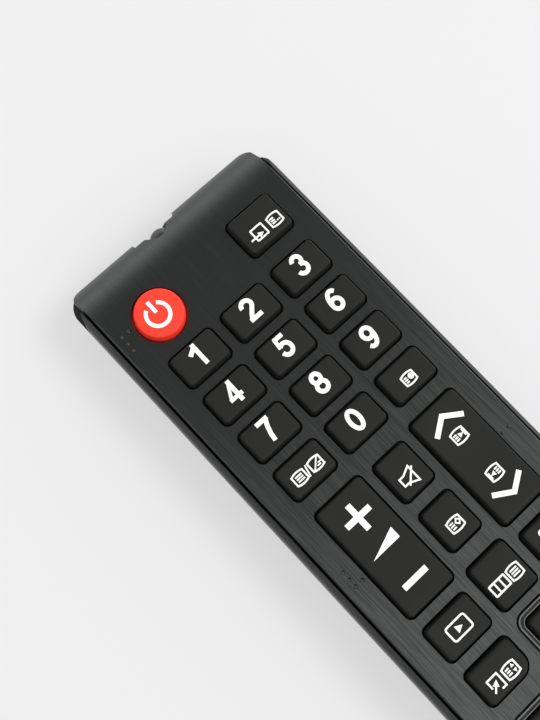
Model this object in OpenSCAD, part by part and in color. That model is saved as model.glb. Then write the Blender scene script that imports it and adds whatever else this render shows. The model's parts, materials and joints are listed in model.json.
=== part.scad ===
// Handheld television remote control with a rubber keypad, two cells and an infrared emitter.
// Frame: +X across, +Y along to the emitter end, +Z out of the key face; it lies on its back at z = 0.

/* [Case] */
// Overall width of the lower case
case_w = 48; // [44:0.5:56]
// Overall length, emitter end to tail
case_l = 175; // [168:1:190]
// Height of the flat key face above the back
face_z = 18.4; // [18.2:0.1:20]
// Radius of the rounded lower edge of the case
belly_r = 6.5; // [5:0.5:8]
// Radius of the case shoulder beside the top cover
shoulder_r = 2; // [1.5:0.25:3]
// Radius of the case corners seen from above
corner_r = 4; // [3.5:0.5:6]
// Thickness of the case floor
floor_t = 2.2; // [2:0.1:2.6]

/* [Top cover] */
// Width of the top cover plate
cover_w = 44.8; // [42:0.2:46]
// Thickness of the cover plate
cover_t = 1.5; // [1.2:0.1:1.8]
// Radius with which the cover rolls over its front edge
front_roll = 11; // [8:0.5:13]
// Width of the emitter notch in the front edge
notch_w = 10; // [8:0.2:14]
// Sideways place of the emitter
led_x = -1.8; // [-4:0.2:4]

/* [Keys] */
// Column spacing of the number keys
col_pitch = 12.7; // [12.4:0.1:13.2]
// Row spacing of the number keys
row_pitch = 9.3; // [9.1:0.1:9.8]
// Width of a number key hole
num_w = 10.8; // [9.5:0.1:11]
// Height of a number key hole
num_h = 7.5; // [6.5:0.1:7.6]
// Corner radius of the key holes
hole_r = 1.4; // [0.8:0.1:2]
// Height of a key above the cover plate
key_up = 1.8; // [1.2:0.1:2.2]
// Gap between a key and its hole
key_gap = 0.3; // [0.25:0.05:0.4]
// Travel of a key
key_travel = 0.8; // [0.5:0.1:0.9]
// Width of the two rocker holes
rock_w = 11.7; // [11:0.1:12]
// Length of the two rocker holes
rock_l = 25.4; // [22:0.2:26]
// Diameter of the power key hole
power_d = 10.6; // [9:0.1:11]
// Width of the input key hole
source_w = 11.1; // [10:0.1:11.4]
// Height of the input key hole
source_h = 9; // [8:0.1:9.4]
// Width of the two holes between the rockers
mid_w = 8.3; // [7.6:0.1:8.5]
// Height of the two holes between the rockers
mid_h = 9.6; // [9:0.1:10]
// Width of the holes beside the menu key and in the corners
media_w = 11; // [10:0.1:11.2]
// Height of the holes beside the menu key
media_h = 8.15; // [7.5:0.05:8.3]
// Width of the menu key hole
menu_w = 9.5; // [9:0.1:9.8]
// Height of the menu key hole
menu_h = 10.4; // [10:0.1:10.8]
// Height of the four corner key holes
corner_h = 8; // [7.4:0.1:8.2]
// Width of a colour key hole
colour_w = 7.8; // [7:0.1:8]
// Height of a colour key hole
colour_h = 5; // [4.5:0.1:5.4]
// Height of the key holes in the last three rows
low_h = 6; // [5.6:0.1:6.2]

/* [Navigation] */
// Half width of an arm of the navigation cross
arm_w = 4.6; // [4.4:0.1:4.8]
// Reach of the upper and lower arms
arm_y = 16.3; // [16:0.1:16.6]
// Reach of the side arms
arm_x = 17.6; // [17:0.1:18.5]
// Diameter of the enter key hole
enter_d = 10.6; // [9.6:0.2:11]

/* [Battery bay] */
// Cell diameter
cell_d = 10.5; // [9.8:0.1:10.5]
// Cell length over the button
cell_l = 44.5; // [43:0.5:44.5]
// Wire of the coil contacts
coil_wire = 0.5; // [0.4:0.05:0.6]
// Reach of the battery door past the bay's inner wall on each side
door_side = 0.6; // [0.4:0.1:0.8]

/* [Hidden] */
$fn = 48;
gap = 0.3;
// Key widths and places across are given for this cover width, and follow the cover.
cover_w_nominal = 44.8;
across = cover_w / cover_w_nominal;
pitch_x = col_pitch * across;
edge_cut = 0.25;
cover_corner = 2.4;
dot_r = 0.45;
dot_up = 0.25;
dot_pitch = 1.62;
chip_w = 7.6;
chip_l = 12.8;
chip_t = 1.8;
plate_side = 0.9;
lead_w = 0.5;
lead_x = 1.27;
rock_tilt_room = 0.35;
rock_contact = 9;
pill_d = 3.6;
pad_d = 4;
eps = 0.01;
half_l = case_l / 2;
ledge_z = face_z - 5.4;
cover_under = face_z - cover_t;
mat_t = 1.9;
board_t = 1.2;
board_top = cover_under - mat_t;
board_low = board_top - board_t;
roof_t = 1.0;
roof_low = board_low - roof_t;
door_t = 1.6;
cell_z = door_t + 0.35 + cell_d / 2;
cell_x = cell_d / 2 + 0.35;
bay_x = cell_x + cell_d / 2 + gap;
door_w = 2 * (bay_x + door_side);
bay_wall = 1.2;
bay_front = -half_l + 66.5;
coil_l = 5.7;
plate_t = 0.4;
bay_back = bay_front - cell_l - coil_l - 2 * plate_t;
tongue = 1.0;
tongue_z = 1.1;
tongue_t = 0.4;
case_inset = 0.25;
shoulder_drop = 0.6;
shoulder_corner = 8;
case_draft = 0.6;
end_r = 6;
cover_flare = 0.2;
shoulder_wall = 1.0;
// The cover's sides lean out towards its foot as far as the case wall beside it allows.
flare = max(0, min(cover_flare, (case_w - cover_w) / 2 - gap - shoulder_wall));
foot_w = cover_w + 2 * flare;
cover_front = half_l;
cover_tail = -half_l + 1.6;
cover_wall = 1.5;
front_wall = 2.5;
inner_roll = 6;
led_z = cover_under - 3.3;
led_r = 2.5;
led_tip = half_l - 0.8;
board_front = led_tip - led_r - 7.1;
notch_cover = 1.1;
notch_case = 0.6;
notch_under = 1.2;
key_top = face_z + key_up;
flange_over = 0.25;
flange_t = 0.6;
pill_t = 0.25;
pad_t = 0.05;
well = flange_over + gap;
pivot_r = 0.85;
pivot_z = board_top + pivot_r + 0.05;
y_num = half_l - 26.2;
y_top = y_num + 11.3;
y_rock = y_num - 47.2;
y_mute = y_num - 40.2;
y_list = y_num - 52;
y_menu = y_num - 65;
y_media = y_num - 65.9;
y_tools = y_num - 76;
y_nav = y_num - 88;
y_back = 2 * y_nav - y_tools;
y_colour = y_num - 110.5;
y_row1 = y_num - 119;
y_row2 = y_num - 127;
y_row3 = y_num - 135;
x_rock = 11.8 * across;
x_media = 12.15 * across;
x_colour = 4.8 * across;
big_r = 3;
rim_t = 1.25;
arrow_in = enter_d / 2 + 1.0;
arm_xx = arm_x * across;
arrow_w = 2 * (arm_w - rim_t);
arrow_uy = arm_y - rim_t;
arrow_ux = arm_xx - rim_t;
rubber = [0.17, 0.17, 0.165];
plastic = [0.2, 0.205, 0.205];

// Rounded rectangle, or a plain circle when the radius takes up the whole width.
module rr(w, h, r) {
    if (r > min(w, h) / 2 - 0.02) circle(d = w);
    else {
        square([w - 2 * r, h], center = true);
        square([w, h - 2 * r], center = true);
        for (sx = [-1, 1], sy = [-1, 1])
            translate([sx * (w / 2 - r), sy * (h / 2 - r)]) circle(r);
    }
}

// Rounded rectangle with one strongly rounded corner, on the side given by two signs.
module rr_corner(w, h, r, sx, sy, big) {
    difference() {
        rr(w, h, r);
        if (big > r) difference() {
            translate([sx * (w / 2 - big / 2 + eps), sy * (h / 2 - big / 2 + eps)])
                square([big + 2 * eps, big + 2 * eps], center = true);
            translate([sx * (w / 2 - big), sy * (h / 2 - big)]) circle(big);
        }
    }
}

// Every key hole in the flat cover: place, size, corner radius, then the big corner's signs and radius.
function plain(x, y, w, h) = [x, y, w * across, h, hole_r, 1, 1, 0];
number_holes = [for (row = [0:3]) for (col = [-1:1])
    plain(col * pitch_x, y_num - row * row_pitch, num_w, num_h)];
power_hole = [-pitch_x, y_top - 0.1, power_d, power_d, power_d / 2, 1, 1, 0];
source_hole = plain(pitch_x, y_top + 0.1, source_w, source_h);
rock_holes = [for (s = [-1, 1]) plain(s * x_rock, y_rock, rock_w, rock_l)];
mid_holes = [plain(0, y_mute, mid_w, mid_h), plain(0, y_list, mid_w, mid_h)];
menu_holes = [plain(-x_media, y_media, media_w, media_h), plain(0, y_menu, menu_w, menu_h),
    plain(x_media, y_media, media_w, media_h)];
corner_holes = [for (sy = [1, -1]) for (sx = [-1, 1])
    [sx * x_media, sy > 0 ? y_tools : y_back, media_w * across, corner_h, hole_r, -sx, -sy, big_r]];
colour_holes = [for (i = [-1.5:1:1.5]) plain(i * 2 * x_colour, y_colour, colour_w, colour_h)];
low_holes = [for (y = [y_row1, y_row2, y_row3]) for (col = [-1:1])
    plain(col * pitch_x, y, num_w, low_h)];
arrow_holes = [
    [0, y_nav + (arrow_in + arrow_uy) / 2, arrow_w, arrow_uy - arrow_in, 1.4, 1, 1, 0],
    [0, y_nav - (arrow_in + arrow_uy) / 2, arrow_w, arrow_uy - arrow_in, 1.4, 1, 1, 0],
    [-(arrow_in + arrow_ux) / 2, y_nav, arrow_ux - arrow_in, arrow_w, 1.4, 1, 1, 0],
    [(arrow_in + arrow_ux) / 2, y_nav, arrow_ux - arrow_in, arrow_w, 1.4, 1, 1, 0]];
enter_hole = [0, y_nav, enter_d, enter_d, enter_d / 2, 1, 1, 0];
cover_holes = concat([power_hole, source_hole], number_holes, rock_holes, mid_holes, menu_holes,
    corner_holes, colour_holes, low_holes);
nav_holes = concat(arrow_holes, [enter_hole]);
slide_holes = concat([power_hole, source_hole], number_holes, mid_holes, menu_holes,
    corner_holes, colour_holes, low_holes, nav_holes);

// Flat outline of a key hole, grown on every side.
module hole_shape(k, grow) {
    translate([k[0], k[1]])
        rr_corner(k[2] + 2 * grow, k[3] + 2 * grow, k[4] + grow, k[5], k[6], k[7] > 0 ? k[7] + grow : 0);
}

// Flat outline of the navigation cross, drawn in from its opening.
module cross_shape(inset) {
    translate([0, y_nav]) {
        rr(2 * (arm_w - inset), 2 * (arm_y - inset), 2.4 - inset);
        rr(2 * (arm_xx - inset), 2 * (arm_w - inset), 2.4 - inset);
        circle(r = 8 - inset);
    }
}

// Block rounded along its length at the upper front and upper tail edges. A front radius larger than
// the block is tall gives a roll that ends at the block's lower edge.
module rolled(y0, y1, z0, z1, w, rf, rt) {
    tall = z1 - z0;
    reach = rf > tall ? sqrt(rf * rf - (rf - tall) * (rf - tall)) : rf;
    rotate([90, 0, 90]) translate([0, 0, -w / 2]) linear_extrude(w) intersection() {
        translate([y0, z0]) square([y1 - y0, tall]);
        union() {
            translate([y0 + rt, z0]) square([y1 - y0 - rt - reach, tall]);
            if (tall > max(rf, rt)) translate([y0, z0]) square([y1 - y0, tall - max(rf, rt)]);
            translate([y1 - reach, z1 - rf]) circle(rf);
            translate([y0 + rt, z1 - rt]) circle(rt);
            translate([y0, z0]) square([rt, tall - rt]);
        }
    }
}

// Outer solid of the lower case: rounded in plan, across and along, widest at the ledge. Above the
// ledge its shoulders roll down at the front with the cover and turn in with a larger corner.
module case_block() {
    shoulder_z = face_z - shoulder_drop;
    intersection() {
        translate([0, -case_inset / 2, 0]) linear_extrude(face_z) rr(case_w, case_l - case_inset, corner_r);
        rotate([90, 0, 0]) translate([0, 0, -half_l]) linear_extrude(case_l) {
            for (s = [-1, 1]) {
                translate([s * (case_w / 2 - case_draft - belly_r), belly_r]) circle(belly_r);
                translate([s * (case_w / 2 - shoulder_r), shoulder_z - shoulder_r]) circle(shoulder_r);
            }
            translate([-case_w / 2 + case_draft + belly_r, 0])
                square([case_w - 2 * (case_draft + belly_r), shoulder_z - shoulder_r]);
            polygon([[-case_w / 2 + case_draft, belly_r], [case_w / 2 - case_draft, belly_r],
                [case_w / 2, ledge_z], [case_w / 2, shoulder_z - shoulder_r],
                [-case_w / 2, shoulder_z - shoulder_r], [-case_w / 2, ledge_z]]);
            translate([-case_w / 2 + shoulder_r, belly_r])
                square([case_w - 2 * shoulder_r, shoulder_z - belly_r]);
        }
        mirror([0, 0, 1]) rolled(-half_l, half_l - case_inset, -face_z, 0, case_w + 1, end_r, end_r);
        union() {
            translate([-case_w, -case_l, -1]) cube([2 * case_w, 2 * case_l, ledge_z + 1]);
            intersection() {
                rolled(-half_l, half_l - case_inset, ledge_z, shoulder_z, case_w + 1, front_roll, shoulder_r);
                translate([0, -case_inset / 2 - case_l / 2, 0]) linear_extrude(face_z)
                    rr(case_w, 2 * case_l - case_inset, shoulder_corner);
            }
        }
    }
}

module led_bore(r) {
    translate([led_x, half_l + 1, led_z]) rotate([90, 0, 0]) cylinder(r = r, h = 10);
}

// Recess round the emitter in the front edge, from just under the emitter to above the face.
module notch(depth) {
    foot = led_z - led_r - notch_under;
    translate([led_x - notch_w / 2, half_l - depth, foot]) cube([notch_w, 5, face_z + 1 - foot]);
}

// Raised touch dots: place of the upper left dot, then column and row of each dot.
touch_marks = [[-20.6 * across, y_num + 12.6, [[0, 0], [0, 1], [0, 2], [1, 0]]],
    [-20.3 * across, y_rock + 1.7, [[0, 0], [0, 1], [0, 2], [1, 2]]],
    [18.4 * across, y_rock - 0.1, [[0, 0], [1, 0]]]];

module touch_dots() {
    for (mark = touch_marks, dot = mark[2])
        translate([mark[0] + dot[0] * dot_pitch, mark[1] - dot[1] * dot_pitch, face_z - dot_r + dot_up])
            sphere(dot_r);
}

// Cross section of the cover: sides that lean out to the foot, long upper edges cut at 45 degrees.
module cover_section() {
    polygon([[-foot_w / 2, ledge_z], [foot_w / 2, ledge_z], [cover_w / 2, face_z - edge_cut],
        [cover_w / 2 - edge_cut, face_z], [-cover_w / 2 + edge_cut, face_z],
        [-cover_w / 2, face_z - edge_cut]]);
}

module top_cover() color(plastic) difference() {
    union() {
        intersection() {
            translate([0, (cover_front + cover_tail) / 2, 0])
                linear_extrude(face_z) rr(foot_w, cover_front - cover_tail, cover_corner);
            rolled(cover_tail, cover_front, ledge_z, face_z, case_w, front_roll, 3);
            rotate([90, 0, 0]) translate([0, 0, -case_l]) linear_extrude(2 * case_l) cover_section();
        }
        touch_dots();
    }
    rolled(cover_tail + cover_wall, cover_front - front_wall, 0, cover_under,
        cover_w - 2 * cover_wall, inner_roll, 2);
    for (k = cover_holes) translate([0, 0, ledge_z]) linear_extrude(10) hole_shape(k, 0);
    translate([0, 0, ledge_z]) linear_extrude(10) cross_shape(0);
    led_bore(led_r + 0.25);
    notch(notch_cover);
    for (s = [-1, 1]) translate([s * (foot_w / 2 - 0.3), half_l - 60, ledge_z + 2])
        cube([1.2, 8, 1], center = true);
}

module bottom_case() color(plastic) {
    difference() {
        case_block();
        translate([0, 0, floor_t]) linear_extrude(ledge_z)
            translate([0, -case_inset / 2]) rr(case_w - 6.4, case_l - 6, corner_r - 2);
        // Seat of the cover, open at the front.
        translate([0, cover_tail - gap + case_l, ledge_z]) linear_extrude(20)
            rr(foot_w + 2 * gap, 2 * case_l, cover_corner + gap);
        led_bore(led_r + 0.25);
        notch(notch_case);
        // Opening for the battery door, its grooves, and the channel out of the tail.
        translate([-door_w / 2 - gap, -half_l - 1, -1])
            cube([door_w + 2 * gap, bay_front + half_l + 1 + gap, floor_t + 2]);
        translate([-door_w / 2 - tongue - gap, -half_l - 1, tongue_z - gap])
            cube([door_w + 2 * (tongue + gap), bay_front + half_l + 1 + gap, tongue_t + 2 * gap]);
    }
    // Walls and roof of the battery bay.
    difference() {
        translate([-bay_x - bay_wall, bay_back - bay_wall, floor_t - 0.3])
            cube([2 * (bay_x + bay_wall), bay_front - bay_back + 2 * bay_wall, board_low - floor_t + 0.3]);
        translate([-bay_x, bay_back, 0]) cube([2 * bay_x, bay_front - bay_back, roof_low]);
    }
    for (s = [-1, 1]) {
        // Webs that tie the bay to the case walls.
        for (y = [bay_back + 3, bay_front - 5])
            translate([s > 0 ? bay_x : -case_w / 2 + 2.5, y, floor_t - 0.1])
                cube([case_w / 2 - 2.5 - bay_x, bay_wall, ledge_z - gap - floor_t + 0.1]);
        // Ribs under the front of the circuit board.
        translate([s * 14 - 0.75, half_l - 80, floor_t - 0.1]) cube([1.5, 62, board_low - floor_t + 0.1]);
    }
}

module battery_door() color([0.16, 0.165, 0.165]) difference() {
    union() {
        intersection() {
            case_block();
            translate([-door_w / 2, -half_l - 1, -1]) cube([door_w, bay_front + half_l + 1, door_t + 1]);
        }
        translate([-door_w / 2 - tongue, -half_l + 8, tongue_z])
            cube([door_w + 2 * tongue, bay_front + half_l - 8 - 2, tongue_t]);
    }
    for (i = [0:4]) translate([-6, bay_front - 8 - i * 1.8, -1]) cube([12, 0.9, 1.45]);
}

// Cross-shaped trim plate around the five navigation keys.
module nav_bezel() color([0.1, 0.1, 0.105]) translate([0, 0, cover_under]) {
    linear_extrude(cover_t + 0.35) difference() {
        cross_shape(0.4);
        for (k = nav_holes) hole_shape(k, 0);
    }
    translate([0, 0, cover_t + 0.35]) linear_extrude(0.25) difference() {
        cross_shape(0.65);
        for (k = nav_holes) hole_shape(k, 0.2);
    }
}

// Silicone sheet with a well for each key; it lies on the board and under the cover.
module keypad_mat() color([0.12, 0.12, 0.12]) translate([0, 0, board_top]) linear_extrude(mat_t)
    difference() {
        translate([0, (half_l - 7.5 + cover_tail + 4) / 2])
            rr(cover_w - 2 * cover_wall - 1.4, half_l - 7.5 - cover_tail - 4, 2);
        for (k = slide_holes) hole_shape(k, well);
        for (k = rock_holes) hole_shape(k, well);
        translate([led_x - 4, half_l - 16]) square([8, 20]);
    }

module circuit_board() color([0.25, 0.3, 0.16]) translate([0, 0, board_low]) linear_extrude(board_t)
    difference() {
        translate([0, (board_front + cover_tail + 4) / 2])
            rr(cover_w - 2 * cover_wall - 1, board_front - cover_tail - 4, 1.5);
        for (s = [-1, 1]) translate([s * (cover_w / 2 - 4.6), half_l - 31]) circle(d = 2);
    }

// Carbon contact pads printed on the board, one under each key and two under each rocker.
module contact_pads() color([0.08, 0.08, 0.08]) translate([0, 0, board_top]) {
    for (k = slide_holes) translate([k[0], k[1]]) cylinder(d = pad_d, h = pad_t);
    for (k = rock_holes, s = [-1, 1]) translate([k[0], k[1] + s * rock_contact]) cylinder(d = pad_d, h = pad_t);
}

module ir_led() color([0.2, 0.2, 0.24]) translate([led_x, led_tip - led_r, led_z]) rotate([90, 0, 0]) {
    sphere(led_r);
    cylinder(r = led_r, h = 5);
    translate([0, 0, 5]) cylinder(r = led_r + 0.3, h = 1);
}

module led_leads() color([0.8, 0.8, 0.8]) for (s = [-1, 1]) {
    lead_end = led_tip - led_r - 6;
    x = led_x + s * lead_x - lead_w / 2;
    low = led_z - lead_w / 2;
    translate([x, lead_end - 0.8, low]) cube([lead_w, 0.8, lead_w]);
    translate([x, lead_end - 0.8, low]) cube([lead_w, lead_w, board_top + lead_w - low]);
    translate([x, lead_end - 4.5, board_top]) cube([lead_w, 4.2, lead_w]);
}

// Surface-mount controller with gull-wing pins, under the front half of the board.
module controller_chip() color([0.1, 0.1, 0.1]) translate([0, half_l - 48, board_low]) {
    translate([0, 0, -0.2 - chip_t / 2]) cube([chip_w, chip_l, chip_t], center = true);
    for (s = [-1, 1]) for (i = [0:9]) translate([s * (chip_w / 2 + 0.5), (i - 4.5) * chip_l / 10.1, -0.15])
        cube([1.6, 0.4, 0.3], center = true);
    for (s = [-1, 1]) for (i = [0:9]) translate([s * chip_w / 2, (i - 4.5) * chip_l / 10.1, -0.5])
        cube([0.3, 0.4, 1], center = true);
}

module resonator() color([0.75, 0.55, 0.2]) translate([-8, half_l - 34, board_low - 1.75])
    cube([7, 3, 3.5], center = true);

module capacitor() color([0.1, 0.15, 0.35]) translate([8, half_l - 34, board_low - 7.5]) cylinder(d = 5, h = 7.5);

// Round cell with its positive button; the sign gives the way the button points along Y.
module cell(x, way) {
    mid = (bay_front + bay_back) / 2;
    nub = way > 0 ? bay_front - plate_t : bay_back + plate_t;
    translate([x, nub, cell_z]) rotate([90 * way, 0, 0]) {
        cylinder(d = 3.8, h = 1.5);
        translate([0, 0, 0.8]) cylinder(d = cell_d, h = cell_l - 0.8);
    }
}

module cell_left() color([0.72, 0.5, 0.2]) cell(-cell_x, 1);

module cell_right() color([0.72, 0.5, 0.2]) cell(cell_x, -1);

// Wound wire as a swept surface: rings of points along a tapering coil, closed at both ends.
module coil(turns, r0, r1, len) {
    steps = 22 * turns;
    sides = 8;
    w = coil_wire / 2;
    pts = [for (i = [0:steps]) let(t = i / steps, a = 360 * turns * t, r = r0 + (r1 - r0) * t)
        for (j = [0:sides - 1]) let(b = 360 * j / sides)
            [(r + w * cos(b)) * cos(a), (r + w * cos(b)) * sin(a), w + (len - 2 * w) * t + w * sin(b)]];
    side_faces = [for (i = [0:steps - 1]) for (j = [0:sides - 1])
        let(k = (j + 1) % sides)
        [i * sides + j, i * sides + k, (i + 1) * sides + k, (i + 1) * sides + j]];
    first = [for (j = [sides - 1:-1:0]) j];
    last = [for (j = [0:sides - 1]) steps * sides + j];
    polyhedron(pts, concat([first], side_faces, [last]), convexity = 10);
}

module coil_contacts() color([0.78, 0.78, 0.8]) {
    translate([-cell_x, bay_back + plate_t + 0.02, cell_z]) rotate([-90, 0, 0]) coil(5, 3.8, 2.4, coil_l - 0.04);
    translate([cell_x, bay_front - plate_t - 0.02, cell_z]) rotate([90, 0, 0]) coil(5, 3.8, 2.4, coil_l - 0.04);
}

// Sprung metal plates that stand against the bay's end walls.
module end_plate(x, w, y) {
    translate([x - w / 2, y, door_t + 0.6]) cube([w, plate_t, roof_low - door_t - 0.9]);
}

module front_contacts() color([0.78, 0.78, 0.8]) for (s = [-1, 1])
    end_plate(s * cell_x, cell_d - plate_side, bay_front - plate_t);

module bridge_contact() color([0.78, 0.78, 0.8]) end_plate(0, 2 * cell_x + cell_d - plate_side, bay_back);

// Raised cap with a pillowed top edge, for a hole of the given outline.
module cap(k, z0) {
    hull() {
        translate([0, 0, z0]) linear_extrude(key_top - 0.9 - z0) hole_shape(k, -key_gap, $fn = 32);
        translate([0, 0, key_top - 0.35]) linear_extrude(eps) hole_shape(k, -key_gap - 0.2, $fn = 32);
        translate([0, 0, key_top - eps]) linear_extrude(eps) hole_shape(k, -key_gap - 0.75, $fn = 32);
    }
}

// Key that travels straight down: cap, retaining flange under the cover, and carbon pill.
module press_key(k, tint = rubber) color(tint) {
    cap(k, cover_under - flange_t);
    translate([0, 0, cover_under - flange_t - 0.05]) linear_extrude(flange_t) hole_shape(k, flange_over);
    translate([k[0], k[1], board_top + pad_t + key_travel + 0.05])
        cylinder(d = pill_d, h = cover_under - flange_t - board_top - pad_t - key_travel);
}

// Key that rocks on a round rib across its middle and closes one contact at each end.
module rocker_key(k) color(rubber) {
    cap(k, cover_under - 0.6);
    translate([0, 0, pivot_z - 0.2]) linear_extrude(cover_under - rock_tilt_room - pivot_z + 0.2)
        translate([k[0], k[1]]) square([k[2] + 2 * flange_over, 5], center = true);
    translate([k[0] - 4, k[1], pivot_z]) rotate([0, 90, 0]) cylinder(r = pivot_r, h = 8);
    for (s = [-1, 1]) translate([k[0], k[1] + s * rock_contact, board_top + 0.95]) cylinder(d = pill_d, h = 1);
}

module volume_key() rocker_key(rock_holes[0]);
module channel_key() rocker_key(rock_holes[1]);
module power_key() press_key(power_hole, [1, 0.24, 0.2]);
module source_key() press_key(source_hole);
module key_1() press_key(number_holes[0]);
module key_2() press_key(number_holes[1]);
module key_3() press_key(number_holes[2]);
module key_4() press_key(number_holes[3]);
module key_5() press_key(number_holes[4]);
module key_6() press_key(number_holes[5]);
module key_7() press_key(number_holes[6]);
module key_8() press_key(number_holes[7]);
module key_9() press_key(number_holes[8]);
module text_key() press_key(number_holes[9]);
module key_0() press_key(number_holes[10]);
module previous_key() press_key(number_holes[11]);
module mute_key() press_key(mid_holes[0]);
module list_key() press_key(mid_holes[1]);
module media_key() press_key(menu_holes[0]);
module menu_key() press_key(menu_holes[1]);
module guide_key() press_key(menu_holes[2]);
module tools_key() press_key(corner_holes[0]);
module info_key() press_key(corner_holes[1]);
module return_key() press_key(corner_holes[2]);
module exit_key() press_key(corner_holes[3]);
module up_key() press_key(arrow_holes[0]);
module down_key() press_key(arrow_holes[1]);
module left_key() press_key(arrow_holes[2]);
module right_key() press_key(arrow_holes[3]);
module enter_key() press_key(enter_hole);
module red_key() press_key(colour_holes[0], [0.7, 0.1, 0.1]);
module green_key() press_key(colour_holes[1], [0.1, 0.5, 0.2]);
module yellow_key() press_key(colour_holes[2], [0.8, 0.65, 0.1]);
module blue_key() press_key(colour_holes[3], [0.1, 0.25, 0.65]);
module manual_key() press_key(low_holes[0]);
module size_key() press_key(low_holes[1]);
module caption_key() press_key(low_holes[2]);
module rewind_key() press_key(low_holes[3]);
module pause_key() press_key(low_holes[4]);
module forward_key() press_key(low_holes[5]);
module record_key() press_key(low_holes[6]);
module play_key() press_key(low_holes[7]);
module stop_key() press_key(low_holes[8]);

top_cover();
bottom_case();
battery_door();
nav_bezel();
keypad_mat();
circuit_board();
contact_pads();
ir_led();
led_leads();
controller_chip();
resonator();
capacitor();
cell_left();
cell_right();
coil_contacts();
front_contacts();
bridge_contact();
volume_key();
channel_key();
power_key();
source_key();
key_1();
key_2();
key_3();
key_4();
key_5();
key_6();
key_7();
key_8();
key_9();
key_0();
text_key();
previous_key();
mute_key();
list_key();
media_key();
menu_key();
guide_key();
tools_key();
info_key();
up_key();
down_key();
left_key();
right_key();
enter_key();
return_key();
exit_key();
red_key();
green_key();
yellow_key();
blue_key();
manual_key();
size_key();
caption_key();
rewind_key();
pause_key();
forward_key();
record_key();
play_key();
stop_key();
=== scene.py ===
import json
import math
import bpy
import numpy as np
from mathutils import Matrix, Vector


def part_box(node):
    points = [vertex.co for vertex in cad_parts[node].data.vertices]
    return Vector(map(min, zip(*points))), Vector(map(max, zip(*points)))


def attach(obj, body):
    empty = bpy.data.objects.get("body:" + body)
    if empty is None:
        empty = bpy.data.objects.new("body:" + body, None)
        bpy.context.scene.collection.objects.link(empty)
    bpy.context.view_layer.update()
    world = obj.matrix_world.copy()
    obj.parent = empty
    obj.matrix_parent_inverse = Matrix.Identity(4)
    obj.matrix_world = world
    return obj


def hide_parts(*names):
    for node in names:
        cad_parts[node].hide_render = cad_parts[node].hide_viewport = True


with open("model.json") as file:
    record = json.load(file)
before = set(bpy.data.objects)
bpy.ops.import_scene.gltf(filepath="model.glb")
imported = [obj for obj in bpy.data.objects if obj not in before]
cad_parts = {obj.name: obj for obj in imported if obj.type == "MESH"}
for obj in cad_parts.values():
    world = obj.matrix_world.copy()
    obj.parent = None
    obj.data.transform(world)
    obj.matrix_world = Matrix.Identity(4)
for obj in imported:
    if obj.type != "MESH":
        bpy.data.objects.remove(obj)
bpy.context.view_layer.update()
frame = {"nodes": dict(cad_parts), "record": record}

# Camera over the emitter half of the remote, to its left and tipped towards the emitter end.
# The photograph was taken from close by, so the lens is a short standard one.
scene = bpy.context.scene
scene.view_settings.view_transform = "Standard"
camera_lens = 55.0
camera_sensor = 36.0
camera_nearest = 0.005
camera_place = Vector((-0.038958, 0.024413, 0.214702))
camera_right = Vector((0.73034, -0.68222, 0.03418))
camera_down = Vector((-0.66006, -0.71773, -0.22178))
camera_ahead = Vector((0.17584, 0.13941, -0.97450))
camera_data = bpy.data.cameras.new("photo_camera")
camera_data.lens = camera_lens
camera_data.sensor_width = camera_sensor
camera_data.clip_start = camera_nearest
camera = bpy.data.objects.new("photo_camera", camera_data)
scene.collection.objects.link(camera)
camera_turn = Matrix((camera_right, -camera_down, -camera_ahead)).transposed().to_4x4()
camera.matrix_world = Matrix.Translation(camera_place) @ camera_turn
bpy.context.scene.camera = camera

# Table top: a plain pale sheet that runs well past the picture on every side.
# It is a lit sheet of white acrylic, so its glow shows to the eye and in reflections, and the shadow
# on the left of the case stays faint.
table_half = 1.5
table_colour = (0.25, 0.25, 0.25)
table_rough = 0.9
table_specular = 0.1
table_glow = 0.55


def plain_finish(name, colour, rough, specular):
    """A material with one principled shader whose constants sit on its own sockets."""
    made = bpy.data.materials.new(name)
    made.use_nodes = True
    shader = made.node_tree.nodes["Principled BSDF"]
    shader.inputs["Base Color"].default_value = (*colour, 1.0)
    shader.inputs["Roughness"].default_value = rough
    shader.inputs["Specular IOR Level"].default_value = specular
    return made, shader


def feed(tree, socket, value):
    """Sets a socket to a number, or links another node's output to it."""
    if isinstance(value, (int, float)):
        socket.default_value = value
    else:
        tree.links.new(value, socket)


def reckon(tree, operation, *terms):
    """Math node on two or three terms, each a number or another node's output."""
    node = tree.nodes.new("ShaderNodeMath")
    node.operation = operation
    for socket, term in zip(node.inputs, terms):
        feed(tree, socket, term)
    return node.outputs["Value"]


table_mesh = bpy.data.meshes.new("table_top")
table_corners = table_half * np.array([(-1, -1, 0), (1, -1, 0), (1, 1, 0), (-1, 1, 0)])
table_mesh.from_pydata(table_corners.tolist(), [], [(0, 1, 2, 3)])
table = bpy.data.objects.new("table_top", table_mesh)
scene.collection.objects.link(table)
table_acrylic, table_shader = plain_finish("table_acrylic", table_colour, table_rough, table_specular)
table_tree = table_acrylic.node_tree
ray = table_tree.nodes.new("ShaderNodeLightPath")
mirrored = reckon(table_tree, "MAXIMUM", ray.outputs["Is Glossy Ray"], ray.outputs["Is Transmission Ray"])
seen = reckon(table_tree, "MAXIMUM", ray.outputs["Is Camera Ray"], mirrored)
glow = reckon(table_tree, "MULTIPLY", seen, table_glow)
table_shader.inputs["Emission Color"].default_value = (1.0, 1.0, 1.0, 1.0)
table_tree.links.new(glow, table_shader.inputs["Emission Strength"])
table_mesh.materials.append(table_acrylic)

# Light: a pale room whose ceiling is bright over the tail and dark over the emitter end, which gives
# the plate its fall of tone, and a soft lamp high on the right that leaves a narrow shadow on the left.
# Past the table's edge the eye sees a plain pale wall, which lights nothing.
ceiling_dark = 0.08
ceiling_bright = 1.7
ceiling_front = 0.36
horizon_front = 1.7
horizon_rest = 0.35
side_glow = 1.4
wall_shown = 0.87
tail_way = (0.05, -1.0, 0.0)
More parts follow.
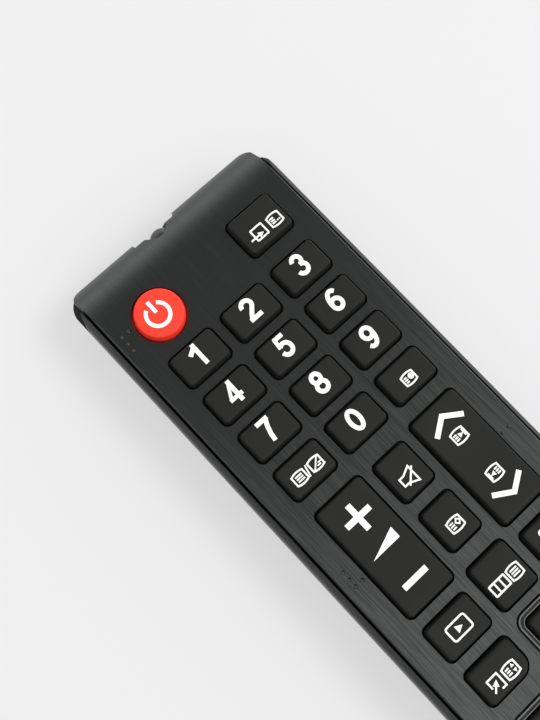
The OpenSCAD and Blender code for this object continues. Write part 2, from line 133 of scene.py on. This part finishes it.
# Each span gives two cosines between which the light changes: towards the tail for the first three,
# towards the right for the side and upwards for the low part of the room.
tail_span = (-0.08, 0.2)
front_span = (-0.4, -0.1)
horizon_span = (-0.8, 0.0)
side_span = (0.5, 1.0)
low_span = (0.7, 0.15)
lamp_place = Vector((0.42, -0.3, 1.0))
lamp_target = Vector((0, 0.03, 0))
lamp_size = 0.4
lamp_watts = 6.0


def graded(tree, value, span, result=(0.0, 1.0), curve="LINEAR"):
    """Map Range node: a value between the two ends of span becomes one between the two ends of result,
    in proportion or on an S-curve, and stops at either end."""
    node = tree.nodes.new("ShaderNodeMapRange")
    node.interpolation_type = curve
    for socket, end in zip(("From Min", "From Max", "To Min", "To Max"), (*span, *result)):
        feed(tree, node.inputs[socket], end)
    tree.links.new(value, node.inputs["Value"])
    return node.outputs["Result"]


def mixed(tree, share, first, second):
    """Mix node: the first number where share is 0, the second where it is 1."""
    node = tree.nodes.new("ShaderNodeMix")
    for socket, term in zip(("Factor", "A", "B"), (share, first, second)):
        feed(tree, node.inputs[socket], term)
    return node.outputs["Result"]


def parted(tree, place):
    """Separate XYZ node: the three coordinates of a place or direction."""
    node = tree.nodes.new("ShaderNodeSeparateXYZ")
    tree.links.new(place, node.inputs[0])
    return node.outputs


world = bpy.data.worlds.new("pale_room")
scene.world = world
world.use_nodes = True
room = world.node_tree
sky = room.nodes["Background"]
sky.inputs["Color"].default_value = (1.0, 1.0, 1.0, 1.0)
way = room.nodes.new("ShaderNodeTexCoord").outputs["Generated"]
along = room.nodes.new("ShaderNodeVectorMath")
along.operation = "DOT_PRODUCT"
along.inputs[1].default_value = tail_way
room.links.new(way, along.inputs[0])
to_tail = along.outputs["Value"]
over_front = graded(room, to_tail, front_span, (ceiling_front, ceiling_dark))
ceiling = graded(room, to_tail, tail_span, (over_front, ceiling_bright), "SMOOTHSTEP")
horizon = graded(room, to_tail, horizon_span, (horizon_front, horizon_rest))
way_parts = parted(room, way)
window_side = graded(room, way_parts["X"], side_span, (0.0, side_glow))
low_light = reckon(room, "ADD", horizon, window_side)
low_share = graded(room, way_parts["Z"], low_span)
level = mixed(room, low_share, ceiling, low_light)
eye = room.nodes.new("ShaderNodeLightPath").outputs["Is Camera Ray"]
room.links.new(mixed(room, eye, level, wall_shown), sky.inputs["Strength"])

lamp_data = bpy.data.lights.new("window", "AREA")
lamp_data.size = lamp_size
lamp_data.energy = lamp_watts
lamp = bpy.data.objects.new("window", lamp_data)
lamp.location = lamp_place
lamp.rotation_euler = (lamp_target - lamp_place).to_track_quat("-Z", "Y").to_euler()
lamp.visible_glossy = False
scene.collection.objects.link(lamp)

# Lower case: one moulded tub of black satin plastic with rounded sides and a shoulder that
# runs round the top cover. Its moulded skin has a fine spark grain.
grain_detail = 2.0
grain_gloss = 0.06
grain_bump = 0.5
mottle_scale = 60.0
mottle_detail = 3.0
mottle_span = (0.3, 0.7)


def noise(tree, place, scale, detail):
    """Noise texture over a place in metres, with scale as its changes per metre."""
    node = tree.nodes.new("ShaderNodeTexNoise")
    node.inputs["Scale"].default_value = scale
    node.inputs["Detail"].default_value = detail
    tree.links.new(place, node.inputs["Vector"])
    return node.outputs["Fac"]


def two_tone(tree, value, span, first, second):
    """Colour ramp: the first colour at one end of span, the second at the other, straight between."""
    node = tree.nodes.new("ShaderNodeValToRGB")
    low, high = node.color_ramp.elements
    low.position, high.position = span
    low.color = (*first, 1.0)
    high.color = (*second, 1.0)
    tree.links.new(value, node.inputs["Fac"])
    return node.outputs["Color"]


def roughen(tree, shader, height, strength, depth):
    """Bump node on a shader: height from 0 to 1 stands for depth in metres."""
    node = tree.nodes.new("ShaderNodeBump")
    node.inputs["Strength"].default_value = strength
    node.inputs["Distance"].default_value = depth
    tree.links.new(height, node.inputs["Height"])
    tree.links.new(node.outputs["Normal"], shader.inputs["Normal"])


def grained_finish(name, colour, rough, specular, grain, depth, spread=0.15):
    """Satin moulding: a fine noise in Object coordinates drives bump and roughness, and a broad one
    makes a faint mottle. grain is the noise scale per metre, depth the bump distance in metres."""
    made, shader = plain_finish(name, colour, rough, specular)
    tree = made.node_tree
    place = tree.nodes.new("ShaderNodeTexCoord").outputs["Object"]
    fine = noise(tree, place, grain, grain_detail)
    broad = noise(tree, place, mottle_scale, mottle_detail)
    darker, paler = (tuple(c * share for c in colour) for share in (1 - spread, 1 + spread))
    tree.links.new(two_tone(tree, broad, mottle_span, darker, paler), shader.inputs["Base Color"])
    gloss = graded(tree, fine, (0.0, 1.0), (rough - grain_gloss, rough + grain_gloss))
    tree.links.new(gloss, shader.inputs["Roughness"])
    roughen(tree, shader, fine, grain_bump, depth)
    return made


def coat(node, finish):
    """Gives a CAD node's object one finish."""
    mesh = frame["nodes"][node].data
    mesh.materials.clear()
    mesh.materials.append(finish)


coat("bottom_case", grained_finish("case_satin", (0.013, 0.0135, 0.0135), 0.42, 0.6, 9000, 6e-6))

# Battery door: a thin plate of the same plastic that slides in grooves in the floor of the case.
# Shallow ribs across it give the thumb a hold.
coat("battery_door", grained_finish("door_satin", (0.014, 0.0145, 0.0145), 0.46, 0.35, 9000, 6e-6))

# Cells and their contacts: two round cells in printed sleeves lie side by side in the bay, pressed
# between nickel-plated spring wire and plates. The emitter's leads are plated in the same way.
cell_sleeve = grained_finish("cell_sleeve", (0.30, 0.16, 0.03), 0.28, 0.5, 700, 2e-6)
nickel = grained_finish("nickel", (0.62, 0.61, 0.58), 0.25, 0.5, 2500, 2e-6)
nickel.node_tree.nodes["Principled BSDF"].inputs["Metallic"].default_value = 1.0
for name in ("cell_left", "cell_right"):
    coat(name, cell_sleeve)
for name in ("coil_contacts", "front_contacts", "bridge_contact", "led_leads"):
    coat(name, nickel)

# Circuit board and what is soldered to it: green-brown laminate, carbon pads printed under the keys,
# a moulded controller, a dipped resonator and a sleeved capacitor.
coat("circuit_board", grained_finish("laminate", (0.05, 0.075, 0.02), 0.5, 0.4, 1500, 4e-6))
coat("contact_pads", grained_finish("carbon_ink", (0.008, 0.008, 0.008), 0.6, 0.3, 6000, 4e-6))
coat("controller_chip", grained_finish("chip_epoxy", (0.012, 0.012, 0.012), 0.5, 0.4, 6000, 4e-6))
coat("resonator", grained_finish("resonator_dip", (0.5, 0.24, 0.03), 0.35, 0.5, 900, 1e-5))
coat("capacitor", grained_finish("capacitor_sleeve", (0.01, 0.02, 0.1), 0.3, 0.5, 900, 3e-6))

# Keypad mat: the moulded silicone sheet that the keys stand in.
# It is squeezed between the board and the cover all round.
coat("keypad_mat", grained_finish("mat_silicone", (0.006, 0.006, 0.006), 0.7, 0.3, 5000, 5e-6))

# Keys: black silicone caps with soft rounded tops, printed with white ink film.
# Each one is a stack of rounded outlines from its hidden flange up to a slightly crowned top, with a
# carbon pill under it. All sizes here are in mm.
millimetre = 0.001
key_gap = 0.3
key_draft = 0.3
key_round = 0.5
key_crown = 0.06
round_steps = 8
crown_rings = np.array([0.9, 0.75, 0.55, 0.3, 0.02])
flange_middle = 0.02
flange_reach = 0.25
flange_thick = 0.6
cap_tall = 3.95
corner_least = 0.25
corner_small = 1.4
corner_big = 3.0
# The corner of each of these keys that is rounded more, counted the way that key_outline goes round.
big_corner = {"tools_key": 3, "info_key": 2, "return_key": 0, "exit_key": 1}
round_keys = ("power_key", "enter_key")
rockers = ("volume_key", "channel_key")
rocker_longer = 0.6
rocker_lift = 0.35
rocker_pills = (9.0, -9.0)
rocker_pill_up = 0.85
pill_radius = 1.8
pill_sides = 24
pill_sink = 0.4
ink_lift = 0.015
ink_sink = 0.05
ink_step = 0.004
sign_line = 0.34
thin_line = 0.3
box_corner = 0.45
screen_bow = 0.24
sharp_edge = math.radians(50)
RUBBER, INK, CARBON = 0, 1, 2
key_rubber = grained_finish("key_rubber", (0.0108, 0.0108, 0.01), 0.62, 0.27, 7000, 7e-6)
white_ink = grained_finish("white_ink", (0.86, 0.86, 0.85), 0.5, 0.3, 4000, 2e-6, 0.03)
pill_carbon = grained_finish("pill_carbon", (0.01, 0.01, 0.01), 0.6, 0.3, 5000, 4e-6)


def key_outline(w, h, radii, steps=9):
    """Closed outline of a rounded rectangle, or of a whole row of them: for each corner the arc
    centre + r (cos a, sin a), going round anticlockwise from the +x +y corner."""
    angle = np.linspace(0, np.pi / 2, steps)[None, :] + np.arange(4)[:, None] * np.pi / 2
    r = np.asarray(radii, float)[..., None]
    half_w = np.asarray(w, float)[..., None, None] / 2
    half_h = np.asarray(h, float)[..., None, None] / 2
    x = np.array([1, -1, -1, 1])[:, None] * (half_w - r) + r * np.cos(angle)
    y = np.array([1, 1, -1, -1])[:, None] * (half_h - r) + r * np.sin(angle)
    return np.stack([x, y], -1).reshape(*x.shape[:-2], -1, 2)


def ring_faces(rings, around):
    """Quads between neighbouring rings of a grid that closes on itself the way round."""
    i, j = np.meshgrid(np.arange(rings - 1), np.arange(around), indexing="ij")
    k = (j + 1) % around
    quads = np.stack([i * around + j, i * around + k, (i + 1) * around + k, (i + 1) * around + j], -1)
    return quads.reshape(-1, 4)


def closed_stack(rings):
    """Points and faces of a stack of rings, shaped (ring, point, xyz), with a face over either end."""
    count, around = rings.shape[:2]
    end = np.arange(around)
    return rings.reshape(-1, 3), [*ring_faces(count, around), end[::-1], end + (count - 1) * around]


def at_heights(outlines, heights):
    """Rings from outlines, shaped (ring, point, xy), each one level at its own height."""
    z = np.broadcast_to(np.asarray(heights, float)[:, None, None], (*outlines.shape[:2], 1))
    return np.concatenate([outlines, z], -1)


def key_surface(w, h, radii, low, top):
    """Rings of a key. A ring is the outline of a smaller or larger rounded rectangle at one height:
    flange, wall, a quarter-round of key_round, then the outline scaled by s to the middle, on a crown
    that rises by key_crown (1 - s squared)."""
    rim = top - key_crown
    flange_top = low + flange_thick
    turn_in = np.linspace(0, np.pi / 2, round_steps)
    rounded = key_gap + key_draft + key_round * (1 - np.cos(turn_in))
    inset = np.concatenate([[0.0, -flange_reach, -flange_reach, key_gap], rounded])
    height = np.concatenate([[low, low, flange_top, flange_top], rim - key_round * (1 - np.sin(turn_in))])
    radii = np.maximum(np.asarray(radii) - inset[:, None], corner_least)
    outlines = key_outline(w - 2 * inset, h - 2 * inset, radii)
    outlines[0] *= flange_middle
    crown = at_heights(outlines[-1] * crown_rings[:, None, None], rim + key_crown * (1 - crown_rings ** 2))
    return np.concatenate([at_heights(outlines, height), crown])


def unit(v):
    """Rows of v, each brought to length one."""
    return v / np.linalg.norm(v, axis=1, keepdims=True)


def stroke(path, width, closed=False):
    """Band of ink along a path: each point is pushed half the width to the left and right of the mean
    of the two neighbouring directions, lengthened at a bend by 1 / cos of half the turn, at most twice."""
    p = np.asarray(path, float)
    if closed:
        before, after = p - np.roll(p, 1, 0), np.roll(p, -1, 0) - p
    else:
        step = np.diff(p, axis=0)
        before, after = np.vstack([step[:1], step]), np.vstack([step, step[-1:]])
    before, after = unit(before), unit(after)
    middle = unit(before + after)
    side = np.stack([-middle[:, 1], middle[:, 0]], 1)
    reach = width / 2 / np.maximum((middle * after).sum(1), 0.5)[:, None]
    return ("band", p + side * reach, p - side * reach, closed)


def fill(loop):
    """A solid convex spot of ink, given by its outline."""
    return ("spot", np.asarray(loop, float))


def arc(cx, cy, rx, ry, start, end, steps=24):
    """Points on an ellipse between two angles in degrees."""
    a = np.radians(np.linspace(start, end, steps))
    return np.stack([cx + rx * np.cos(a), cy + ry * np.sin(a)], 1)


def loop_of(cx, cy, rx, ry, steps=40):
    """Points of a whole ellipse, without the repeated last one."""
    return arc(cx, cy, rx, ry, 0, 360, steps + 1)[:-1]


def frame_of(cx, cy, w, h, r):
    """Points of a small rounded rectangle about a place."""
    return key_outline(w, h, [r] * 4, 5) + np.array([cx, cy])


def scaled(ink, k, dx, dy):
    """The same marks, k times as large, moved by dx and dy."""
    move = np.array([dx, dy])
    return [tuple(m * k + move if isinstance(m, np.ndarray) else m for m in mark) for mark in ink]


def triangle(cx, cy, r, turn):
    """Filled triangle that points along an angle in degrees."""
    a = np.radians(turn + np.array([0, 125, 235]))
    return fill(np.stack([cx + r * np.cos(a), cy + r * np.sin(a)], 1))


def bar(x0, y0, x1, y1, width=sign_line):
    """Straight line of ink."""
    return stroke([(x0, y0), (x1, y1)], width)


def box_sign(w, h, width=sign_line):
    """Rounded frame about the middle of a key."""
    return stroke(frame_of(0, 0, w, h, box_corner), width, True)


def screen_sign(cx, cy, w, h):
    """Outline of a small screen: straight sides, with the top and the bottom bowed out as parabolas."""
    across = np.linspace(-1, 1, 9)
    edge = (h - sign_line) / 2 + screen_bow * (1 - across ** 2)
    top = np.column_stack([cx + across * (w - sign_line) / 2, cy + edge])
    bottom = np.column_stack([cx - across * (w - sign_line) / 2, cy - edge])
    return stroke(np.vstack([top, bottom]), sign_line, True)


def lines(x0, x1, cy, step):
    """Three short thin lines of ink, one over the other."""
    return [bar(x0, cy + k * step, x1, cy + k * step, thin_line) for k in (-1, 0, 1)]


# Numbers, each in a box one unit high, as bands of ink about centre lines.
digit_high = 4.6
digit_place = (-0.1, 0.45)
bold = 0.185
digits = {
    0: [stroke(loop_of(0, 0, 0.225, 0.405), bold, True)],
    1: [stroke([(0.07, -0.5), (0.07, 0.5)], bold), stroke([(0.1, 0.38), (-0.27, 0.14)], bold)],
    2: [stroke(np.vstack([arc(0, 0.19, 0.225, 0.215, 183, -32), [(-0.05, -0.19), (-0.2, -0.40)]]), bold),
        stroke([(-0.29, -0.41), (0.31, -0.41)], bold)],
    3: [stroke(arc(-0.01, 0.2, 0.2, 0.205, 172, -88), bold),
        stroke(arc(-0.01, -0.19, 0.225, 0.22, 88, -172), bold)],
    4: [stroke([(0.1, -0.5), (0.1, 0.5)], bold), stroke([(0.1, 0.43), (-0.25, -0.2)], bold * 0.75),
        stroke([(-0.33, -0.23), (0.3, -0.23)], bold * 0.9)],
    5: [stroke([(-0.2, 0.41), (0.24, 0.41)], bold), stroke([(-0.15, 0.46), (-0.2, -0.01)], bold * 0.9),
        stroke(arc(-0.01, -0.15, 0.235, 0.26, 140, -170), bold)],
    6: [stroke(loop_of(0, -0.17, 0.215, 0.235), bold, True),
        stroke(arc(0.07, -0.1, 0.285, 0.51, 180, 52), bold)],
    7: [stroke([(-0.28, 0.41), (0.3, 0.41)], bold),
        stroke([(0.21, 0.4), (0.08, 0.14), (-0.02, -0.17), (-0.07, -0.5)], bold)],
    8: [stroke(loop_of(0, 0.205, 0.185, 0.2), bold, True),
        stroke(loop_of(0, -0.185, 0.225, 0.22), bold, True)],
    9: [stroke(loop_of(0, 0.17, 0.215, 0.235), bold, True),
        stroke(arc(-0.07, 0.1, 0.285, 0.51, 0, -128), bold)]}
legend = {f"key_{n}": scaled(sign, digit_high, *digit_place) for n, sign in digits.items()}

# Plain pictograms, each about the middle of its key.
power_line = 0.74
power_gap = 32
power_ring = arc(0, 0, 2.25, 2.25, 90 + power_gap, 450 - power_gap, 48)
power_sign = [stroke(power_ring, power_line), bar(0, 0.45, 0, 3.05, power_line)]
legend["power_key"] = scaled(power_sign, 1.0, -0.35, -0.15)
legend["source_key"] = [stroke(frame_of(-1.3, -1.25, 2.6, 2.4, 0.12), sign_line, True),
                        screen_sign(2.55, -1.3, 3.0, 2.3), bar(-3.7, -1.7, -1.7, -1.7),
                        triangle(-1.35, -1.7, 0.72, 0), *lines(1.6, 2.5, -1.3, 0.48)]
legend["source_key"] += [fill(loop_of(x, -1.75, 0.17, 0.17, 12)) for x in (2.9, 3.35)]
legend["text_key"] = [screen_sign(-1.85, -0.43, 2.9, 2.2), bar(0.25, 0.65, -0.27, -1.55, 0.28),
                      *lines(-2.6, -1.1, -0.43, 0.48),
                      screen_sign(1.95, -0.43, 2.9, 2.2), bar(1.0, -1.35, 2.9, 0.5, 0.28),
                      bar(2.3, -0.6, 3.0, -0.6, 0.26), bar(1.9, -1.0, 2.7, -1.0, 0.26)]
legend["previous_key"] = [screen_sign(-0.26, -0.71, 2.9, 2.1), fill(loop_of(0.3, -0.6, 0.6, 0.6, 20)),
                          *lines(-1.2, -0.55, -0.75, 0.45)]
horn = [(-1.9, -0.45), (-0.9, -0.45), (0.95, 0.4), (0.95, -2.85), (-0.9, -2.0), (-1.9, -2.0)]
legend["mute_key"] = [stroke(horn, sign_line, True), bar(1.5, 0.0, -1.1, -2.5)]
diamond = [(0.65, -0.25), (1.15, -0.8), (0.65, -1.35), (0.15, -0.8)]
legend["list_key"] = [screen_sign(0.0, -0.94, 3.2, 2.3), stroke(diamond, 0.28, True),
                      *lines(-1.05, -0.2, -0.94, 0.5)]
legend["media_key"] = [box_sign(4.4, 2.8, 0.36), triangle(-0.1, 0, 0.9, 0)]
legend["menu_key"] = [stroke(frame_of(-1.85, -0.78, 3.5, 2.1, 0.1), 0.36, True),
                      bar(-2.45, -1.7, -2.45, 0.1), bar(-1.25, -1.7, -1.25, 0.1),
                      screen_sign(1.83, -0.84, 3.0, 2.4), *lines(1.0, 2.65, -0.84, 0.5)]
legend["guide_key"] = [box_sign(5.0, 3.8, 0.36), bar(-2.4, 0.5, 2.4, 0.5), bar(-0.7, -1.8, -0.7, 1.8)]
open_box = [(-3.06, -1.1), (-3.06, 0.44), (-0.76, 0.44), (-0.76, -2.16), (-1.7, -2.16)]
legend["tools_key"] = [stroke(open_box, sign_line), bar(-3.2, -2.0, -2.3, -1.1),
                       triangle(-2.05, -0.85, 0.75, 45), screen_sign(1.51, -0.97, 3.1, 2.4),
                       triangle(2.15, -0.5, 0.46, 90), triangle(2.15, -1.45, 0.46, 270),
                       *lines(0.55, 1.4, -0.97, 0.5)]
legend["info_key"] = [stroke(loop_of(0, 0, 2.0, 2.0), 0.38, True), bar(0, -1.0, 0, 0.35, 0.5),
                      fill(loop_of(0, 0.95, 0.32, 0.32, 16))]
hook = np.vstack([[(-1.6, 0.7), (0.6, 0.7)], arc(0.6, -0.35, 1.05, 1.05, 80, -90, 16), [(-1.4, -1.4)]])
legend["return_key"] = [stroke(hook, 0.42), triangle(-1.9, 0.7, 0.9, 180)]
legend["exit_key"] = [stroke([(0.4, 1.6), (-1.8, 1.6), (-1.8, -1.6), (0.4, -1.6)], 0.4),
                      bar(-0.6, 0, 1.6, 0, 0.42), triangle(1.7, 0, 0.85, 0)]
for side, turned in (("right", 0), ("up", 90), ("left", 180), ("down", 270)):
    legend[side + "_key"] = [triangle(0, 0, 1.15, turned)]
legend["enter_key"] = [stroke([(1.7, 1.3), (1.7, -0.5), (-1.0, -0.5)], 0.45),
                       triangle(-1.2, -0.5, 0.95, 180)]
book = [(-2, 1.1), (0, 0.7), (2, 1.1), (2, -1.1), (0, -1.5), (-2, -1.1)]
legend["manual_key"] = [stroke(book, sign_line, True), bar(0, -1.4, 0, 0.7)]
legend["size_key"] = [box_sign(4.6, 2.8), stroke(frame_of(-0.9, -0.45, 2.0, 1.2, 0.25), thin_line, True)]
legend["caption_key"] = [box_sign(4.6, 2.9), bar(-1.5, -0.3, 0.4, -0.3, 0.32),
                         bar(-1.5, -0.85, 1.5, -0.85, 0.32)]
legend["rewind_key"] = [triangle(-0.95, 0, 1.2, 180), triangle(0.95, 0, 1.2, 180)]
legend["forward_key"] = [triangle(-0.95, 0, 1.2, 0), triangle(0.95, 0, 1.2, 0)]
legend["pause_key"] = [bar(-0.6, -1.2, -0.6, 1.2, 0.6), bar(0.6, -1.2, 0.6, 1.2, 0.6)]
legend["record_key"] = [fill(loop_of(0, 0, 1.2, 1.2, 28))]
legend["play_key"] = [triangle(-0.1, 0, 1.4, 0)]
legend["stop_key"] = [fill([(-1.1, -1.1), (1.1, -1.1), (1.1, 1.1), (-1.1, 1.1)])]
legend["volume_key"] = [bar(-2.85, 6.84, 2.85, 6.84, 1.15), bar(0, 4.05, 0, 9.65, 1.15),
                        bar(-2.75, -7.5, 2.75, -7.5, 1.15),
                        fill([(-3.4, -0.55), (3.05, -0.55), (3.05, 1.75)])]
legend["channel_key"] = [stroke([(-3.45, 7.2), (0, 9.55), (3.35, 7.2)], 1.0),
                         stroke([(-3.5, -6.65), (0, -8.9), (3.35, -6.75)], 1.0),
                         screen_sign(-0.1, 4.9, 3.1, 2.4), triangle(0.2, 4.9, 0.62, 0),
                         bar(0.95, 4.2, 0.95, 5.6, thin_line),
                         screen_sign(-0.15, -4.1, 3.1, 2.4), triangle(-0.45, -4.1, 0.62, 180),
                         bar(-1.2, -4.8, -1.2, -3.4, thin_line),
                         *lines(-1.15, -0.4, 4.9, 0.48), *lines(0.15, 0.9, -4.1, 0.48)]


def upright(loop, low, high):
    """Points and faces of a straight-sided solid: one outline at two heights."""
    return closed_stack(at_heights(np.stack([loop, loop]), [low, high]))


def ink_solid(mark, top, order):
    """Points and faces of one mark as a thin film: its outline just over the top of the crown and,
    just under the key's skin, at its foot, with the sides and both ends closed. Each later mark
    on a key is a hair thicker, so that crossing marks share no face."""
    foot, film = top - key_crown - ink_sink, top + ink_lift + ink_step * order
    if mark[0] == "spot":
        return upright(mark[1], foot, film)
    left, right, closed = mark[1:]
    n = len(left)
    across = np.stack([left, left, right, right], 1)
    z = np.broadcast_to(np.array([foot, film, film, foot]), (n, 4))
    points = np.concatenate([across, z[..., None]], -1).reshape(-1, 3)
    quads = ring_faces(n + 1 if closed else n, 4)[:, ::-1] % (4 * n)
    ends = [] if closed else [np.arange(4), 4 * n - 1 - np.arange(4)]
    return points, [*quads, *ends]


def key_piece(node, body, rubber):
    """Builds one key over its CAD node: the rubber body, its carbon pills and its ink. A rocker has no
    flange: its lower rings are drawn in to the wall, and its underside is lifted to leave room to tilt."""
    lo, hi = (np.array(c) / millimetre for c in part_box(node))
    middle = (lo + hi) / 2
    rocker = node in rockers
    w = hi[0] - lo[0] - 2 * flange_reach
    h = hi[1] - lo[1] + (rocker_longer if rocker else -2 * flange_reach)
    radii = [w / 2 if node in round_keys else corner_small] * 4
    if node in big_corner:
        radii[big_corner[node]] = corner_big
    low = hi[2] - cap_tall
    rings = key_surface(w, h, radii, low, hi[2])
    if rocker:
        rings[1:3, :, :2] = rings[3:4, :, :2]
        rings[:2, :, 2] = low + rocker_lift
    solids = [(RUBBER, *closed_stack(rings))]
    pill_low = lo[2] + (rocker_pill_up if rocker else 0.0)
    for pill_y in rocker_pills if rocker else (0.0,):
        pill = loop_of(0, pill_y, pill_radius, pill_radius, pill_sides)
        solids.append((CARBON, *upright(pill, pill_low, low + pill_sink)))
    for order, mark in enumerate(legend.get(node, [])):
        solids.append((INK, *ink_solid(mark, hi[2], order)))
    points = np.concatenate([p for kind, p, f in solids]) + np.array([middle[0], middle[1], 0])
    firsts = np.cumsum([0] + [len(p) for kind, p, f in solids])
    faces = [(face + first).tolist() for (kind, p, f), first in zip(solids, firsts) for face in f]
    kinds = [kind for kind, p, f in solids for face in f]
    mesh = bpy.data.meshes.new(node + "_cap")
    mesh.from_pydata((points * millimetre).tolist(), [], faces)
    for finish in (rubber, white_ink, pill_carbon):
        mesh.materials.append(finish)
    mesh.polygons.foreach_set("material_index", kinds)
    mesh.polygons.foreach_set("use_smooth", [kind == RUBBER for kind in kinds])
    mesh.update()
    mesh.set_sharp_from_angle(angle=sharp_edge)
    piece = bpy.data.objects.new(node + "_cap", mesh)
    scene.collection.objects.link(piece)
    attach(piece, body)
    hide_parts(node)
    return piece


tinted = {"power_key": ("power_rubber", (0.98, 0.045, 0.024)),
          "red_key": ("red_rubber", (0.5, 0.012, 0.012)),
          "green_key": ("green_rubber", (0.01, 0.2, 0.03)),
          "yellow_key": ("yellow_rubber", (0.6, 0.38, 0.01)),
          "blue_key": ("blue_rubber", (0.01, 0.05, 0.36))}
for body, members in frame["record"]["behaviour"]["bodies"].items():
    for node in members:
        if node.endswith("_key") or node.startswith("key_"):
            if node in tinted:
                slot_name, colour = tinted[node]
                piece = key_piece(node, body, grained_finish(slot_name, colour, 0.6, 0.3, 7000, 7e-6, 0.04))
            else:
                key_piece(node, body, key_rubber)

# Navigation trim: a cross-shaped plate of black gloss that drops into the cover round the arrow keys.
# Its stepped outer edge carries a painted highlight, pale grey in the base colour, so a thin pale line runs
# round it.
bezel_field = (0.006, 0.006, 0.0065)
bezel_painted_highlight = (0.2, 0.2, 0.2)
bezel_drop = 0.00012
bezel_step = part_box("nav_bezel")[1][2] - bezel_drop
bezel_blur = 2e-5
bezel_mottle = 1200
bezel_rough = (0.3, 0.5)
bezel_gloss, bezel_shader = plain_finish("bezel_gloss", bezel_field, 0.4, 0.3)
tree = bezel_gloss.node_tree
place = tree.nodes.new("ShaderNodeTexCoord").outputs["Object"]
# Painted highlight: above bezel_step the base colour turns from the black field to pale grey.
painted_highlight_band = graded(tree, parted(tree, place)["Z"], (bezel_step - bezel_blur, bezel_step + bezel_blur))
tree.links.new(two_tone(tree, painted_highlight_band, (0.0, 1.0), bezel_painted_highlight, bezel_field), bezel_shader.inputs["Base Color"])
gloss = graded(tree, noise(tree, place, bezel_mottle, grain_detail), (0.0, 1.0), bezel_rough)
tree.links.new(gloss, bezel_shader.inputs["Roughness"])
coat("nav_bezel", bezel_gloss)

# Top cover: a plate with a black metal film, brushed lengthwise, that rolls down over the emitter
# end. The brush marks show where the film mirrors something bright, and are worn smooth at the front.
hair_scale = (6500, 140, 140)
hair_span = (0.33, 0.7)
hair_dark = (0.051, 0.0523, 0.0523)
hair_pale = (0.104, 0.1067, 0.1067)
hair_rough = (0.3, 0.38)
hair_bump = 0.3
hair_depth = 4e-6
mark_middle = 0.515
worn_span = (0.025, 0.058)
worn_left = 0.22
cover_hairline, cover_shader = plain_finish("cover_hairline", (0.077, 0.079, 0.079), 0.34, 0.5)
cover_shader.inputs["Metallic"].default_value = 1.0
tree = cover_hairline.node_tree
place = tree.nodes.new("ShaderNodeTexCoord").outputs["Object"]
stretch = tree.nodes.new("ShaderNodeMapping")
stretch.inputs["Scale"].default_value = hair_scale
tree.links.new(place, stretch.inputs["Vector"])
hair = noise(tree, stretch.outputs["Vector"], 1.0, grain_detail)
worn = graded(tree, parted(tree, place)["Y"], worn_span, (1.0, worn_left))
swing = reckon(tree, "SUBTRACT", hair, mark_middle)
marks = reckon(tree, "MULTIPLY_ADD", swing, worn, mark_middle)
tree.links.new(two_tone(tree, marks, hair_span, hair_dark, hair_pale), cover_shader.inputs["Base Color"])
tree.links.new(graded(tree, marks, (0.0, 1.0), hair_rough), cover_shader.inputs["Roughness"])
roughen(tree, cover_shader, marks, hair_bump, hair_depth)
coat("top_cover", cover_hairline)

# Emitter: a dark epoxy lamp with a domed nose that looks out of the notch in the front edge.
# Its clear skin is smooth, with a faint mottle in the resin.
coat("ir_led", grained_finish("emitter_epoxy", (0.03, 0.03, 0.04), 0.12, 0.5, 500, 1e-6))
